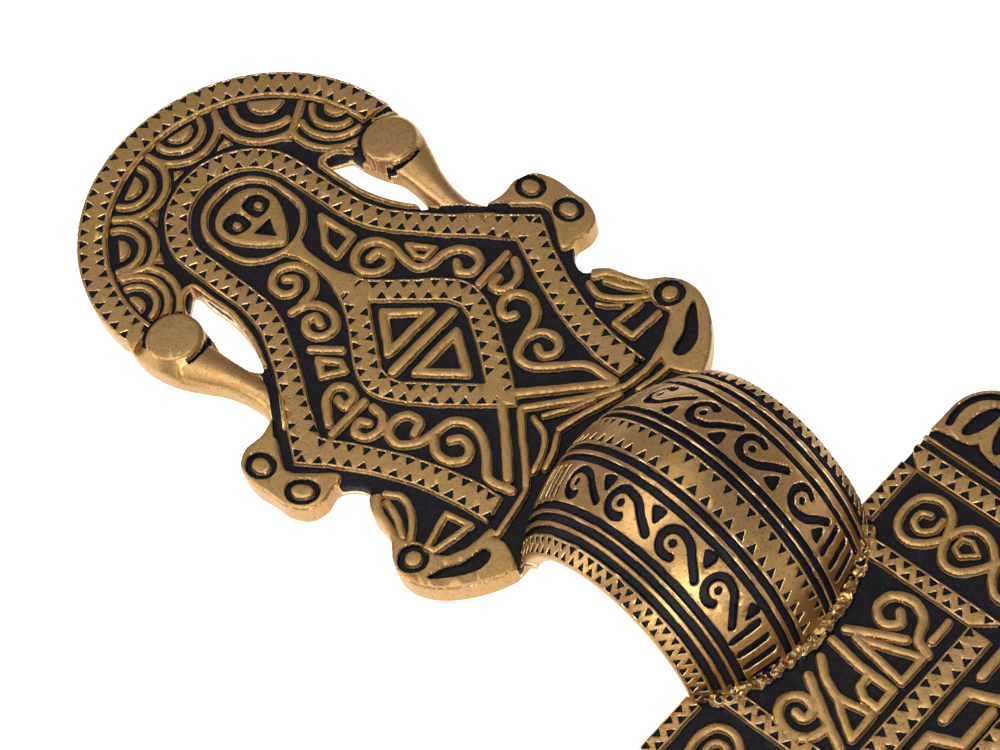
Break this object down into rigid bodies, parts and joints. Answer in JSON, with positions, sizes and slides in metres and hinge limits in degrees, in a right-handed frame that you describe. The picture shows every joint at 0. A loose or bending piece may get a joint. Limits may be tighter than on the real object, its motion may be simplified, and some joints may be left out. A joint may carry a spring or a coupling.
{
  "type": "fibula brooch",
  "caption": "Cast bow brooch with a carved foot ending in a crescent, a grooved strap bow, a rectangular head plate with a lobed border, and a hinged pin behind.",
  "frame": {"origin": "middle of the footprint, on the level that the lugs and the catch rest on", "axes": "+Z out of the decorated face, +Y along the brooch from the crescent foot to the head plate, +X across"},
  "size_m": [0.0788, 0.1544, 0.0297],
  "materials": {
    "cast_bronze": "cast, worn bright on the ridges, dark patina in the sunk ground",
    "drawn_bronze": "filed and polished"
  },
  "bodies": {
    "brooch": {"brooch_casting": "cast_bronze", "axle_rod": "drawn_bronze"},
    "pin": {"pin": "drawn_bronze"}
  },
  "joints": [
    {"name": "pin_hinge", "type": "hinge", "parent": "brooch", "child": "pin", "pos_m": [0, 0.05215, 0.0033], "axis": [1, 0, 0], "range_deg": [0, 60]}
  ]
}
